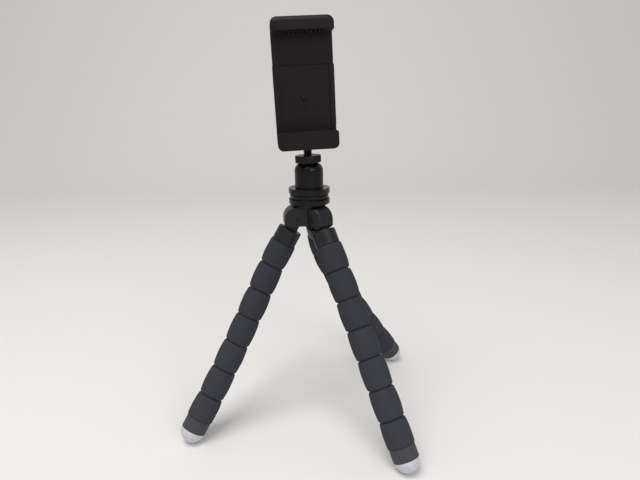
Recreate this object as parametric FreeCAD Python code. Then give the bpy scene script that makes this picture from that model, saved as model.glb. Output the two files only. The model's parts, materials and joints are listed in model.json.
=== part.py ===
"""Mini tripod with bendable foam legs, a small ball head and a sprung phone clamp.

Millimetres, +Z up. The shapes are made standing on a table with the head's axis
through x = y = 0, and are moved at the end so that the origin is the middle of
the whole object's footprint, on the table.
"""
import FreeCAD
import Part
import math
import os

V = FreeCAD.Vector
UP = V(0, 0, 1)

# ---- fits between pieces -------------------------------------------------------
RUNNING_FIT = 0.05      # radial play of a pin or shaft that turns
LOCK_FIT = 0.1          # play of the lock ring round the boss and the housing, and above its flange
SLIDE_FIT = 0.2         # play beside and behind the sliding jaw
TURN_GAP = 0.15         # gap between faces that turn past each other
BEND_GAP = 0.3          # least gap between curved parts that swing past each other

# ---- legs: wire core inside notched foam ---------------------------------------
FOAM_RADIUS = 10.0
FOAM_COUNT = 7
FIRST_FOAM = 20.4       # from the collar to the first notch
FOAM_PITCH = 22.4       # from notch to notch
LAST_FOAM = 18.7        # from the last notch to the foot sleeve
NOTCH_DEPTH = 1.9
NOTCH_HALF_WIDTH = 4.2  # from the middle of a notch to the full radius
NOTCH_ANGLE = 13.5      # half of the angle that two foam faces leave between them
NOTCH_GAP = 0.1         # added to each foam face beside the angle it leaves
NOTCH_BULGE = 0.14      # rise of a notch's rounded lip over its chord, as a share of the chord
WIRE_RADIUS = 1.5
WIRE_PLAY = 0.1
WIRE_IN_COLLAR = 6.0
WIRE_IN_SLEEVE = 5.5
SLEEVE_RADIUS = 9.5
SLEEVE_LENGTH = 9.7
SLEEVE_EDGE = 0.5
TIP_RADIUS = 9.2
TIP_SPIGOT_RADIUS = 5.0
TIP_SPIGOT_LENGTH = 2.4

# ---- how the legs stand: degrees, azimuth counted from +X towards +Y ------------
# lobe: the way the hinge points; turn: how the foam heads off sideways, at once
# and then more at each notch; bow: how it flattens, per notch and per notch squared
LEFT_LEAN = 29.1        # of the left leg; the other two lean as far as the table asks
LEGS = {
    "left": {"lobe": 188.7, "turn": (19.3, 1.9), "bow": (0.0, 0.23)},
    "right": {"lobe": 308.7, "turn": (-0.2, -0.72), "bow": (0.15, 0.035)},
    "rear": {"lobe": 68.7, "turn": (-23.8, -4.65), "bow": (1.3, 0.0)},
}
SPLAY_IN = 24.0         # how far each hinge folds in from there
SPLAY_OUT = 10.0        # and out

# ---- hub -------------------------------------------------------------------------
HINGE_RADIUS = 10.4     # from the head's axis to each hinge pin
LOBE_RADIUS = 9.8
LOBE_WIDTH = 14.0
LOBE_EDGE = 1.6
LOBE_CHAMFER = 1.8      # of the lower outer corner, where the collar comes up
HUB_DROP = 5.8          # from the hinge pins down to the flat underside
HUB_COLUMN_RADIUS = 8.8
HUB_CAP_RADIUS = 12.0
HUB_CAP_HEIGHT = 0.5
KNUCKLE_THICKNESS = 7.0
KNUCKLE_RADIUS = 5.4
KNUCKLE_NECK = 4.6      # half width of the neck below the eye
PIN_RADIUS = 1.5
PIN_END_GAP = 0.2
COLLAR_RADIUS = 9.3
COLLAR_DROP = 10.4      # from the hinge pin down to the collar
COLLAR_LENGTH = 11.6
COLLAR_EDGE = 0.6
SCREW_RADIUS = 2.0      # the cap screw that holds the head on the hub
SCREW_HEAD_RADIUS = 3.5
SCREW_HEAD_HEIGHT = 3.5
SCREW_HEX = 1.5         # half of the socket's width across its corners
SCREW_HEX_DEPTH = 2.0
PLUG_THICKNESS = 1.5
PLUG_GAP = 0.3

# ---- ball and the housing round it -----------------------------------------------
BALL_RADIUS = 8.0
BALL_RISE = 13.0        # from the top of the base's boss to the ball's centre
BALL_TILT = 23.0        # how far the stem can lean before the housing's opening stops it
STEM_RADIUS = 3.1
THREAD_RADIUS = 3.175   # 1/4 inch screw
HOUSING_WALL = 2.7
HOUSING_FLANGE_WIDTH = 1.2
HOUSING_FLANGE_HEIGHT = 1.05
SHOULDER_RADIUS = 5.6
SHOULDER_RISE = 2.4     # from the ball's centre up to where the skirt starts to round

# ---- lock ring and the flanged base under it ----------------------------------------
LOCK_WALL = 1.9         # at the bottom of the groove
GROOVE_DEPTH = 0.7
GROOVE_HEIGHT = 0.8
WAIST_HEIGHT = 3.0
LOCK_RIM_HEIGHT = 4.1
LOCK_LIP = 1.1
LOCK_RING_GAP = 0.2     # between the lock ring and the base's flange
RIM_OVERHANG = 0.9      # of the base's flange and the lock ring's rim, over the waist
RIM_EDGE = 0.4
BASE_FLANGE_HEIGHT = 4.3
NECK_INSET = 1.6        # from the flange's rim in to the neck
NECK_TAPER = 0.4
NECK_HEIGHT = 0.6
SPRING_WELL_DEPTH = 4.5

# ---- seat and spring below the ball, nut above it -------------------------------------
SEAT_PLAY = 0.1         # between the seat and the housing's bore
SEAT_HOLE_RADIUS = 5.0
SEAT_HEIGHT = 6.0
SEAT_TOP_DROP = 3.5     # from the ball's centre down to the seat's rim
SPRING_WIRE_RADIUS = 0.5
SPRING_TURNS = 3
SPRING_END = 90.0       # where its wire ends, counted from +X towards +Y
NUT_RADIUS = 9.7
NUT_RISE = 8.3          # from the ball's centre up to the nut
NUT_HEIGHT = 5.3
NUT_NOTCHES = 36
NUT_NOTCH_RADIUS = 0.35
NUT_TO_CLAMP = 5.4

# ---- phone clamp, measured from its underside on the screw's axis ---------------------
# x across, -y to the front, z up
CLAMP_YAW = 4.6         # how far its front turns towards +X
CLAMP_LEAN = 2.1        # how far its top leans towards -X
BODY_WIDTH = 43.8
BODY_HEIGHT = 58.0
PLATE_FRONT = -3.0
PLATE_THICKNESS = 4.1
CHANNEL_DEPTH = 3.9     # of the room behind the plate for the sliding jaw's fork
WALL = 1.6
JAW_REACH = 14.0        # from the plate's front to the front of both jaws
LOWER_JAW_HEIGHT = 10.2
LOWER_CORNER = 4.0
LIP_HEIGHT = 2.8        # of the lower jaw's front lip above the jaw
LIP_CORNER = 2.2
RAIL_WIDTH = 3.6
RAIL_HEIGHT = 1.0
RAIL_START = 16.0
INSERT_RADIUS = 4.0
INSERT_COVER = 2.2      # of the lower jaw above the insert
THREAD_END_GAP = 1.0    # from the screw's end to the insert's top
COVER_THICKNESS = 1.5
COVER_SKIN = 0.45       # of the cover behind the face screw's end
FACE_SCREW_LEVEL = 36.5
FACE_SCREW_HEAD = 2.4
FACE_SCREW_RADIUS = 1.0
FACE_SCREW_HEAD_HEIGHT = 1.2
FACE_SCREW_SINK = 1.0
CROSS_ARM = 1.5
CROSS_WIDTH = 0.5
CROSS_DEPTH = 0.7
BOSS_WALL = 2.0
MARK_WIDTH = 2.0        # the shallow oval recess below the face screw
MARK_LENGTH = 6.0
MARK_LEVEL = 31.0
MARK_DEPTH = 0.6
COVER_SCREW_X = 16.0
COVER_SCREW_LEVEL = 6.0
COVER_SCREW_HEAD = 1.7
COVER_SCREW_RADIUS = 0.8
COVER_SCREW_LENGTH = 6.5

UPPER_WIDTH = 43.2
UPPER_STEP = 0.8        # from the body's front plate back to the upper jaw's
UPPER_PLATE_HEIGHT = 21.5
UPPER_JAW_HEIGHT = 8.9
UPPER_CORNER = 4.6
UPPER_BEVEL = 2.5
STOP_GAP = 0.15         # between the sliding jaw's shoulders and the body, closed
JAW_TRAVEL = 28.0
FORK_HOLD = 16.0        # of the fork still inside the body when the jaw is fully open
SPRING_SIDE = 9.9       # from the body's sides to the springs
SPRING_ROOM = 0.25      # between each spring and the plates before and behind it
SPRING_WIRE = 0.5
SPRING_WINDOW_TOP = 54.0
SPRING_PEG_RADIUS = 0.8
SPRING_PEG_LEVEL = 15.0
SPRING_BAR_RADIUS = 0.6
SPRING_BAR_DROP = 2.5   # from the window's top to the bar across it

PAD_SIDE_INSET = 1.6    # of both pads, from the upper jaw's sides
PAD_FRONT_INSET = 1.6   # the thickness of the lower jaw's lip
PAD_BACK_GAP = 0.4
PAD_THICKNESS = 1.0
PAD_RIB_PITCH = 3.0
PAD_RIB_WIDTH = 1.8
PAD_RIB_HEIGHT = 1.1
UPPER_PAD_SINK = 0.8
UPPER_PAD_RIB_HEIGHT = 0.8


# ---- small tools --------------------------------------------------------------------
def box(x, y, z):
    """Box between pairs of limits along each axis."""
    return Part.makeBox(x[1] - x[0], y[1] - y[0], z[1] - z[0], V(x[0], y[0], z[0]))


def rod(radius, start, end):
    """Cylinder from one point to another."""
    return Part.makeCylinder(radius, start.distanceToPoint(end), start, end - start)


def upright(radius, low, high):
    """Cylinder on the z axis between two heights."""
    return rod(radius, V(0, 0, low), V(0, 0, high))


def outline(points):
    """Closed face in the xz plane: a point is (x, z), an arc ((x, z) on it, (x, z) at its end)."""
    edges = []
    here = V(points[0][0], 0, points[0][1])
    for point in points[1:] + points[:1]:
        if isinstance(point[0], tuple):
            through = V(point[0][0], 0, point[0][1])
            end = V(point[1][0], 0, point[1][1])
            edges.append(Part.Arc(here, through, end).toShape())
        else:
            end = V(point[0], 0, point[1])
            edges.append(Part.LineSegment(here, end).toShape())
        here = end
    return Part.Face(Part.Wire(edges))


def lathe(points):
    """Solid turned about the z axis from an outline of (radius, height) points."""
    return outline(points).revolve(V(0, 0, 0), UP, 360)


def arc_middle(centre, radius, start, end):
    """Middle point of the arc between two angles in radians."""
    angle = (start + end) / 2
    return (centre[0] + radius * math.cos(angle), centre[1] + radius * math.sin(angle))


def placement(point, along, side):
    """Frame at a point with its z axis along one direction and its x axis to one side."""
    third = along.cross(side)
    return FreeCAD.Placement(FreeCAD.Matrix(
        side.x, third.x, along.x, point.x,
        side.y, third.y, along.y, point.y,
        side.z, third.z, along.z, point.z,
        0, 0, 0, 1))


def moved(shape, place):
    """Copy of a shape carried by a placement."""
    copy = shape.copy()
    copy.Placement = place.multiply(copy.Placement)
    return copy


def rounded(shape, radius, wanted):
    """Shape with a fillet on the edges that a test picks."""
    return shape.makeFillet(radius, [edge for edge in shape.Edges if wanted(edge)])


def rim_of(radius):
    """Test for circular edges of one radius."""
    def test(edge):
        return isinstance(edge.Curve, Part.Circle) and abs(edge.Curve.Radius - radius) < 0.01
    return test


def runs_along(edge, axis):
    """Whether an edge is a straight line along an axis."""
    return isinstance(edge.Curve, Part.Line) and abs(abs(edge.Curve.Direction.dot(axis)) - 1) < 1e-6


# ---- where the legs lie ---------------------------------------------------------------
COLLAR_END = COLLAR_DROP + COLLAR_LENGTH
SEGMENTS = [COLLAR_END + FIRST_FOAM] + [FOAM_PITCH] * (FOAM_COUNT - 2) + [LAST_FOAM + SLEEVE_LENGTH]


def heading(lean, azimuth):
    """Direction that leans out from straight down by one angle, towards an azimuth."""
    lean = math.radians(lean)
    azimuth = math.radians(azimuth)
    return V(math.sin(lean) * math.cos(azimuth), math.sin(lean) * math.sin(azimuth), -math.cos(lean))


def outward(leg):
    """Horizontal direction that a leg's hinge points in."""
    return heading(90, LEGS[leg]["lobe"])


def leg_directions(leg, lean):
    """Direction of each stretch of a leg, from its hinge to its foot."""
    shape = LEGS[leg]
    directions = [heading(lean, shape["lobe"])]
    for notch in range(1, FOAM_COUNT):
        bowed = lean + shape["bow"][0] * notch + shape["bow"][1] * notch ** 2
        turned = shape["lobe"] + shape["turn"][0] + shape["turn"][1] * notch
        directions.append(heading(bowed, turned))
    return directions


def leg_drop(leg, lean):
    """Height from a leg's foot tip up to its hinge."""
    directions = leg_directions(leg, lean)
    return TIP_RADIUS - sum(way.z * length for way, length in zip(directions, SEGMENTS))


def lean_to_stand(leg, height):
    """Lean that brings a leg's foot down to the table."""
    low, high = 0.0, 60.0
    for _ in range(40):
        middle = (low + high) / 2
        if leg_drop(leg, middle) > height:
            low = middle
        else:
            high = middle
    return middle


HINGE_LEVEL = leg_drop("left", LEFT_LEAN)
LEANS = {leg: lean_to_stand(leg, HINGE_LEVEL) for leg in LEGS}
DIRECTIONS = {leg: leg_directions(leg, LEANS[leg]) for leg in LEGS}


def leg_points(leg):
    """The hinge, the middle of each notch and the end of the sleeve."""
    points = [outward(leg) * HINGE_RADIUS + V(0, 0, HINGE_LEVEL)]
    for way, length in zip(DIRECTIONS[leg], SEGMENTS):
        points.append(points[-1] + way * length)
    return points


POINTS = {leg: leg_points(leg) for leg in LEGS}


def leg_place(leg, stretch, distance=0.0):
    """Frame on a leg's centre line, z towards the foot, at a distance along a stretch."""
    way = DIRECTIONS[leg][stretch]
    side = way.cross(outward(leg).cross(UP)).normalize()
    across = side.cross(way)
    return placement(POINTS[leg][stretch] + way * distance, way, across)


# ---- radii of the head, built up from the ball -------------------------------------------
BALL_SOCKET = BALL_RADIUS + RUNNING_FIT
HOUSING_BORE = BALL_SOCKET + SEAT_PLAY
SKIRT_RADIUS = HOUSING_BORE + HOUSING_WALL
HOUSING_FLANGE_RADIUS = SKIRT_RADIUS + HOUSING_FLANGE_WIDTH
LOCK_BORE = HOUSING_FLANGE_RADIUS + TURN_GAP
BOSS_RADIUS = LOCK_BORE - LOCK_FIT
GROOVE_RADIUS = LOCK_BORE + LOCK_WALL
WAIST_RADIUS = GROOVE_RADIUS + GROOVE_DEPTH
RIM_RADIUS = WAIST_RADIUS + RIM_OVERHANG
NECK_TOP_RADIUS = RIM_RADIUS - NECK_INSET
NECK_LOW_RADIUS = NECK_TOP_RADIUS - NECK_TAPER
SPRING_RADIUS = (SEAT_HOLE_RADIUS + BALL_SOCKET) / 2

# ---- heights of the head, built up from the hinges --------------------------------------
HUB_BOTTOM = HINGE_LEVEL - HUB_DROP
HUB_SHOULDER = HINGE_LEVEL + LOBE_RADIUS
HUB_TOP = HUB_SHOULDER + HUB_CAP_HEIGHT
FLANGE_BOTTOM = HUB_TOP + NECK_HEIGHT
FLANGE_TOP = FLANGE_BOTTOM + BASE_FLANGE_HEIGHT
LOCK_BOTTOM = FLANGE_TOP + LOCK_RING_GAP
LOCK_GROOVE = LOCK_BOTTOM + WAIST_HEIGHT
LOCK_RIM = LOCK_GROOVE + GROOVE_HEIGHT
LOCK_TOP = LOCK_RIM + LOCK_RIM_HEIGHT
LIP_BOTTOM = LOCK_TOP - LOCK_LIP
HOUSING_BOTTOM = LIP_BOTTOM - LOCK_FIT - HOUSING_FLANGE_HEIGHT
BOSS_TOP = HOUSING_BOTTOM - TURN_GAP
WELL_FLOOR = BOSS_TOP - SPRING_WELL_DEPTH
BALL_CENTRE = BOSS_TOP + BALL_RISE
SEAT_TOP = BALL_CENTRE - SEAT_TOP_DROP
SEAT_BOTTOM = SEAT_TOP - SEAT_HEIGHT
NUT_BOTTOM = BALL_CENTRE + NUT_RISE
NUT_TOP = NUT_BOTTOM + NUT_HEIGHT
CLAMP_LEVEL = NUT_TOP + NUT_TO_CLAMP
SCREW_SEAT = HUB_BOTTOM + PLUG_THICKNESS + PLUG_GAP + SCREW_HEAD_HEIGHT
SCREW_END = WELL_FLOOR - PLUG_GAP
INSERT_HEIGHT = LOWER_JAW_HEIGHT - INSERT_COVER

# the ball's stem, the nut and the clamp share one lean and one turn about the ball's centre
HEAD_TURN = FreeCAD.Rotation(V(0, 1, 0), -CLAMP_LEAN).multiply(FreeCAD.Rotation(UP, CLAMP_YAW))
HEAD_PLACE = FreeCAD.Placement(V(0, 0, BALL_CENTRE), HEAD_TURN).multiply(
    FreeCAD.Placement(V(0, 0, -BALL_CENTRE), FreeCAD.Rotation()))
CLAMP_PLACE = HEAD_PLACE.multiply(FreeCAD.Placement(V(0, 0, CLAMP_LEVEL), FreeCAD.Rotation()))


# ---- hub ----------------------------------------------------------------------------------
def lobe():
    """One lobe that points along +X: flat below, straight outside, round over the hinge, edges softened."""
    crown = arc_middle((HINGE_RADIUS, HINGE_LEVEL), LOBE_RADIUS, 0, math.pi / 2)
    face = outline([
        (0, HUB_BOTTOM),
        (HINGE_RADIUS + LOBE_RADIUS - LOBE_CHAMFER, HUB_BOTTOM),
        (HINGE_RADIUS + LOBE_RADIUS, HUB_BOTTOM + LOBE_CHAMFER),
        (HINGE_RADIUS + LOBE_RADIUS, HINGE_LEVEL),
        (crown, (HINGE_RADIUS, HUB_SHOULDER)),
        (0, HUB_SHOULDER)])
    face.translate(V(0, -LOBE_WIDTH / 2, 0))
    solid = face.extrude(V(0, LOBE_WIDTH, 0))

    def outer_edge(edge):
        middle = edge.valueAt((edge.FirstParameter + edge.LastParameter) / 2)
        on_flank = abs(abs(middle.y) - LOBE_WIDTH / 2) < 0.01
        return on_flank and middle.x > 1 and middle.z > HUB_BOTTOM + 0.01
    return rounded(solid, LOBE_EDGE, outer_edge)


def lobe_slot(lean):
    """Room in a lobe for the collar's knuckle, over the hinge's whole swing."""
    half = KNUCKLE_THICKNESS / 2 + TURN_GAP
    reach = 2 * LOBE_RADIUS
    width = KNUCKLE_NECK + BEND_GAP
    folded = math.radians(lean - SPLAY_IN)
    spread = math.radians(lean + SPLAY_OUT)
    inner = (HINGE_RADIUS - width * math.cos(folded), HINGE_LEVEL - width * math.sin(folded))
    outer = (HINGE_RADIUS + width * math.cos(spread), HINGE_LEVEL + width * math.sin(spread))
    face = outline([
        inner,
        (inner[0] + reach * math.sin(folded), inner[1] - reach * math.cos(folded)),
        (outer[0] + reach * math.sin(spread), outer[1] - reach * math.cos(spread)),
        outer])
    face.translate(V(0, -half, 0))
    sweep = face.extrude(V(0, 2 * half, 0))
    eye = rod(KNUCKLE_RADIUS + BEND_GAP, V(HINGE_RADIUS, -half, HINGE_LEVEL),
              V(HINGE_RADIUS, half, HINGE_LEVEL))
    return sweep.fuse(eye)


def hinge_line(radius, length):
    """Rod across a lobe that points along +X, on its hinge."""
    half = length / 2
    return rod(radius, V(HINGE_RADIUS, -half, HINGE_LEVEL), V(HINGE_RADIUS, half, HINGE_LEVEL))


def hub_body():
    """Three lobes round a column, slotted for the legs and bored for the head's screw."""
    solid = upright(HUB_COLUMN_RADIUS, HUB_BOTTOM, HUB_TOP)
    solid = solid.fuse(upright(HUB_CAP_RADIUS, HUB_SHOULDER - HUB_CAP_HEIGHT, HUB_TOP))
    cuts = []
    for leg, shape in LEGS.items():
        arm = lobe()
        slot = lobe_slot(LEANS[leg])
        pin_hole = hinge_line(PIN_RADIUS, LOBE_WIDTH)
        for piece in (arm, slot, pin_hole):
            piece.rotate(V(0, 0, 0), UP, shape["lobe"])
        solid = solid.fuse(arm)
        cuts += [slot, pin_hole]
    solid = solid.removeSplitter()
    cuts.append(upright(SCREW_RADIUS + RUNNING_FIT, HUB_BOTTOM, HUB_TOP))
    cuts.append(upright(SCREW_HEAD_RADIUS + RUNNING_FIT, HUB_BOTTOM, SCREW_SEAT))
    return solid.cut(cuts)


def hinge_pin(leg):
    """Pin through one lobe and its knuckle."""
    pin = hinge_line(PIN_RADIUS, LOBE_WIDTH - 2 * PIN_END_GAP)
    pin.rotate(V(0, 0, 0), UP, LEGS[leg]["lobe"])
    return pin


def head_screw():
    """Cap screw from below the hub up into the head's base."""
    solid = upright(SCREW_RADIUS, SCREW_SEAT, SCREW_END)
    solid = solid.fuse(upright(SCREW_HEAD_RADIUS, SCREW_SEAT - SCREW_HEAD_HEIGHT, SCREW_SEAT))
    corners = [V(SCREW_HEX * math.cos(math.radians(60 * k)), SCREW_HEX * math.sin(math.radians(60 * k)),
                 SCREW_SEAT - SCREW_HEAD_HEIGHT) for k in range(7)]
    socket = Part.Face(Part.makePolygon(corners)).extrude(V(0, 0, SCREW_HEX_DEPTH))
    return solid.cut(socket)


def hub_plug():
    """Cap pressed in over the screw's head."""
    return upright(SCREW_HEAD_RADIUS + RUNNING_FIT, HUB_BOTTOM, HUB_BOTTOM + PLUG_THICKNESS)


# ---- head base, lock ring, housing -----------------------------------------------------------
def head_base():
    """Flanged foot of the head, with a boss and a well for the seat's spring."""
    well = BALL_SOCKET + TURN_GAP
    solid = lathe([
        (SCREW_RADIUS, HUB_TOP), (NECK_LOW_RADIUS, HUB_TOP), (NECK_TOP_RADIUS, FLANGE_BOTTOM),
        (RIM_RADIUS, FLANGE_BOTTOM + RIM_EDGE), (RIM_RADIUS, FLANGE_TOP), (BOSS_RADIUS, FLANGE_TOP),
        (BOSS_RADIUS, BOSS_TOP), (well, BOSS_TOP), (well, WELL_FLOOR), (SCREW_RADIUS, WELL_FLOOR)])
    return rounded(solid, RIM_EDGE, rim_of(RIM_RADIUS))


def lock_ring():
    """Union ring: a waisted grip outside, a lip inside that holds the housing down."""
    lip = SKIRT_RADIUS + LOCK_FIT
    solid = lathe([
        (LOCK_BORE, LOCK_BOTTOM), (WAIST_RADIUS, LOCK_BOTTOM), (WAIST_RADIUS, LOCK_GROOVE),
        (GROOVE_RADIUS, LOCK_GROOVE), (GROOVE_RADIUS, LOCK_RIM), (RIM_RADIUS, LOCK_RIM),
        (RIM_RADIUS, LOCK_TOP), (lip, LOCK_TOP), (lip, LIP_BOTTOM), (LOCK_BORE, LIP_BOTTOM)])
    solid = rounded(solid, RIM_EDGE, rim_of(RIM_RADIUS))
    return rounded(solid, RIM_EDGE, rim_of(WAIST_RADIUS))


def ball_housing():
    """Thimble over the ball: a flange below, a rounded shoulder and an opening above."""
    flange_top = HOUSING_BOTTOM + HOUSING_FLANGE_HEIGHT
    shoulder = BALL_CENTRE + SHOULDER_RISE
    middle = (SKIRT_RADIUS - SHOULDER_RADIUS, shoulder)
    # the shoulder ends where it would meet the stem, leaning all the way
    tilt = math.radians(BALL_TILT)
    stem_side = STEM_RADIUS + BEND_GAP - middle[0] * math.cos(tilt) + SHOULDER_RISE * math.sin(tilt)
    top_angle = math.acos(stem_side / SHOULDER_RADIUS) - tilt
    opening = middle[0] + SHOULDER_RADIUS * math.cos(top_angle)
    top = shoulder + SHOULDER_RADIUS * math.sin(top_angle)
    mouth_angle = math.acos(opening / BALL_SOCKET)
    mouth = BALL_CENTRE + BALL_SOCKET * math.sin(mouth_angle)
    return lathe([
        (HOUSING_BORE, HOUSING_BOTTOM), (HOUSING_FLANGE_RADIUS, HOUSING_BOTTOM),
        (HOUSING_FLANGE_RADIUS, flange_top), (SKIRT_RADIUS, flange_top), (SKIRT_RADIUS, shoulder),
        (arc_middle(middle, SHOULDER_RADIUS, 0, top_angle), (opening, top)),
        (opening, mouth),
        (arc_middle((0, BALL_CENTRE), BALL_SOCKET, mouth_angle, 0), (BALL_SOCKET, BALL_CENTRE)),
        (HOUSING_BORE, BALL_CENTRE)])


def ball_seat():
    """Ring with a hollow top that the ball turns on."""
    solid = upright(BALL_SOCKET, SEAT_BOTTOM, SEAT_TOP)
    return solid.cut([Part.makeSphere(BALL_SOCKET, V(0, 0, BALL_CENTRE)),
                      upright(SEAT_HOLE_RADIUS, SEAT_BOTTOM, SEAT_TOP)])


def seat_spring():
    """Coil that pushes the seat up against the ball."""
    low = WELL_FLOOR + SPRING_WIRE_RADIUS
    high = SEAT_BOTTOM - SPRING_WIRE_RADIUS
    path = Part.Wire(Part.makeHelix((high - low) / SPRING_TURNS, high - low, SPRING_RADIUS).Edges)
    section = Part.Wire(Part.makeCircle(SPRING_WIRE_RADIUS, V(SPRING_RADIUS, 0, 0), V(0, 1, 0)))
    coil = path.makePipeShell([section], True, True)
    coil.translate(V(0, 0, low))
    coil.rotate(V(0, 0, 0), UP, SPRING_END)
    return coil


def ball_stud():
    """Ball, stem and screw in one turned piece."""
    solid = Part.makeSphere(BALL_RADIUS, V(0, 0, BALL_CENTRE))
    solid = solid.fuse(upright(STEM_RADIUS, BALL_CENTRE, NUT_BOTTOM))
    thread_end = CLAMP_LEVEL + INSERT_HEIGHT - THREAD_END_GAP
    solid = solid.fuse(upright(THREAD_RADIUS, NUT_BOTTOM, thread_end))
    return moved(solid.removeSplitter(), HEAD_PLACE)


def knurled_nut():
    """Round nut on the screw, hollow below so that it clears the housing as it tilts."""
    shoulder_reach = math.hypot(SKIRT_RADIUS - SHOULDER_RADIUS, SHOULDER_RISE) + SHOULDER_RADIUS
    hollow = Part.makeSphere(shoulder_reach + BEND_GAP, V(0, 0, BALL_CENTRE))
    solid = upright(NUT_RADIUS, NUT_BOTTOM, NUT_TOP)
    solid = rounded(solid, RIM_EDGE, rim_of(NUT_RADIUS))
    notches = []
    for k in range(NUT_NOTCHES):
        notch = rod(NUT_NOTCH_RADIUS, V(NUT_RADIUS, 0, NUT_BOTTOM), V(NUT_RADIUS, 0, NUT_TOP))
        notch.rotate(V(0, 0, 0), UP, 360 * k / NUT_NOTCHES)
        notches.append(notch)
    solid = solid.cut(notches + [hollow, upright(THREAD_RADIUS + RUNNING_FIT, NUT_BOTTOM, NUT_TOP)])
    return moved(solid, HEAD_PLACE)


# ---- phone clamp --------------------------------------------------------------------------------
HALF_BODY = BODY_WIDTH / 2
HALF_UPPER = UPPER_WIDTH / 2
HALF_INSIDE = HALF_BODY - WALL
HALF_FORK = HALF_INSIDE - SLIDE_FIT
BODY_X = (-HALF_BODY, HALF_BODY)
JAW_FRONT = PLATE_FRONT - JAW_REACH
PLATE_BACK = PLATE_FRONT + PLATE_THICKNESS
BODY_BACK = PLATE_BACK + CHANNEL_DEPTH
COVER_BACK = BODY_BACK + COVER_THICKNESS
FORK_FRONT = PLATE_BACK + SLIDE_FIT
FORK_BACK = BODY_BACK - SLIDE_FIT
FORK_BOTTOM = BODY_HEIGHT - FORK_HOLD - JAW_TRAVEL
UPPER_FRONT = PLATE_FRONT + UPPER_STEP
SHOULDER_LEVEL = BODY_HEIGHT + STOP_GAP
UPPER_JAW_LEVEL = SHOULDER_LEVEL + UPPER_PLATE_HEIGHT
UPPER_TOP = UPPER_JAW_LEVEL + UPPER_JAW_HEIGHT
SPRING_Y = (PLATE_BACK + BODY_BACK) / 2
SPRING_COIL_RADIUS = CHANNEL_DEPTH / 2 - SPRING_ROOM
SPRING_WINDOW = SPRING_COIL_RADIUS + 2 * SPRING_ROOM
SPRING_BAR_LEVEL = SPRING_WINDOW_TOP - SPRING_BAR_DROP
SPRING_SPOTS = {"left": SPRING_SIDE - HALF_BODY, "right": HALF_BODY - SPRING_SIDE}
FACE_BOSS_RADIUS = FACE_SCREW_RADIUS + BOSS_WALL
FACE_SCREW_END = COVER_BACK - COVER_SKIN
COVER_SCREW_SPOTS = (-COVER_SCREW_X, COVER_SCREW_X)
PAD_FRONT = JAW_FRONT + PAD_FRONT_INSET
HALF_PAD = HALF_UPPER - PAD_SIDE_INSET


def lower_corner(edge):
    """Test for the two bottom edges that run from front to back."""
    middle = edge.CenterOfMass
    return runs_along(edge, V(0, 1, 0)) and middle.z < 0.01 and abs(abs(middle.x) - HALF_BODY) < 0.01


def lip_corner(edge):
    """Test for the two top edges of the lip that run from front to back."""
    middle = edge.CenterOfMass
    return runs_along(edge, V(0, 1, 0)) and middle.z > LOWER_JAW_HEIGHT + LIP_HEIGHT - 0.01


def across_plate(radius, x, z, front, back):
    """Rod through the clamp from front to back."""
    return rod(radius, V(x, front, z), V(x, back, z))


def clamp_body():
    """Front plate with the lipped lower jaw, side walls, rails, and pegs for the springs."""
    solid = box(BODY_X, (PLATE_FRONT, BODY_BACK), (0, BODY_HEIGHT))
    solid = solid.fuse(box(BODY_X, (JAW_FRONT, BODY_BACK), (0, LOWER_JAW_HEIGHT))).removeSplitter()
    solid = rounded(solid, LOWER_CORNER, lower_corner)
    lip = box(BODY_X, (JAW_FRONT, PAD_FRONT), (0, LOWER_JAW_HEIGHT + LIP_HEIGHT))
    lip = rounded(rounded(lip, LOWER_CORNER, lower_corner), LIP_CORNER, lip_corner)
    solid = solid.fuse(lip).removeSplitter()
    channel = box((-HALF_INSIDE, HALF_INSIDE), (PLATE_BACK, BODY_BACK), (LOWER_JAW_HEIGHT, BODY_HEIGHT))
    solid = solid.cut(channel)
    rail_y = (PLATE_FRONT - RAIL_HEIGHT, PLATE_FRONT)
    rail_z = (RAIL_START, BODY_HEIGHT)
    added = [box((-HALF_BODY, RAIL_WIDTH - HALF_BODY), rail_y, rail_z),
             box((HALF_BODY - RAIL_WIDTH, HALF_BODY), rail_y, rail_z)]
    added.append(across_plate(FACE_BOSS_RADIUS, 0, FACE_SCREW_LEVEL, PLATE_FRONT, BODY_BACK))
    added += [across_plate(SPRING_PEG_RADIUS, x, SPRING_PEG_LEVEL, PLATE_FRONT, BODY_BACK - SLIDE_FIT)
              for x in SPRING_SPOTS.values()]
    solid = solid.fuse(added).removeSplitter()
    cuts = [upright(INSERT_RADIUS, 0, INSERT_HEIGHT),
            across_plate(FACE_SCREW_RADIUS, 0, FACE_SCREW_LEVEL, PLATE_FRONT, BODY_BACK),
            across_plate(FACE_SCREW_HEAD + SLIDE_FIT, 0, FACE_SCREW_LEVEL, PLATE_FRONT,
                         PLATE_FRONT + FACE_SCREW_SINK)]
    screw_end = COVER_BACK - COVER_SCREW_LENGTH
    cuts += [across_plate(COVER_SCREW_RADIUS, x, COVER_SCREW_LEVEL, screw_end, BODY_BACK)
             for x in COVER_SCREW_SPOTS]
    return moved(solid.cut(cuts + face_mark()), CLAMP_PLACE)


def face_mark():
    """Shallow oval recess in the front plate, below the face screw."""
    half = (MARK_LENGTH - MARK_WIDTH) / 2
    back = PLATE_FRONT + MARK_DEPTH
    radius = MARK_WIDTH / 2
    return [box((-radius, radius), (PLATE_FRONT, back), (MARK_LEVEL - half, MARK_LEVEL + half)),
            across_plate(radius, 0, MARK_LEVEL - half, PLATE_FRONT, back),
            across_plate(radius, 0, MARK_LEVEL + half, PLATE_FRONT, back)]


def threaded_insert():
    """Brass bush that the head's screw goes into."""
    solid = upright(INSERT_RADIUS, 0, INSERT_HEIGHT)
    return moved(solid.cut(upright(THREAD_RADIUS + RUNNING_FIT, 0, INSERT_HEIGHT)), CLAMP_PLACE)


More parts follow.
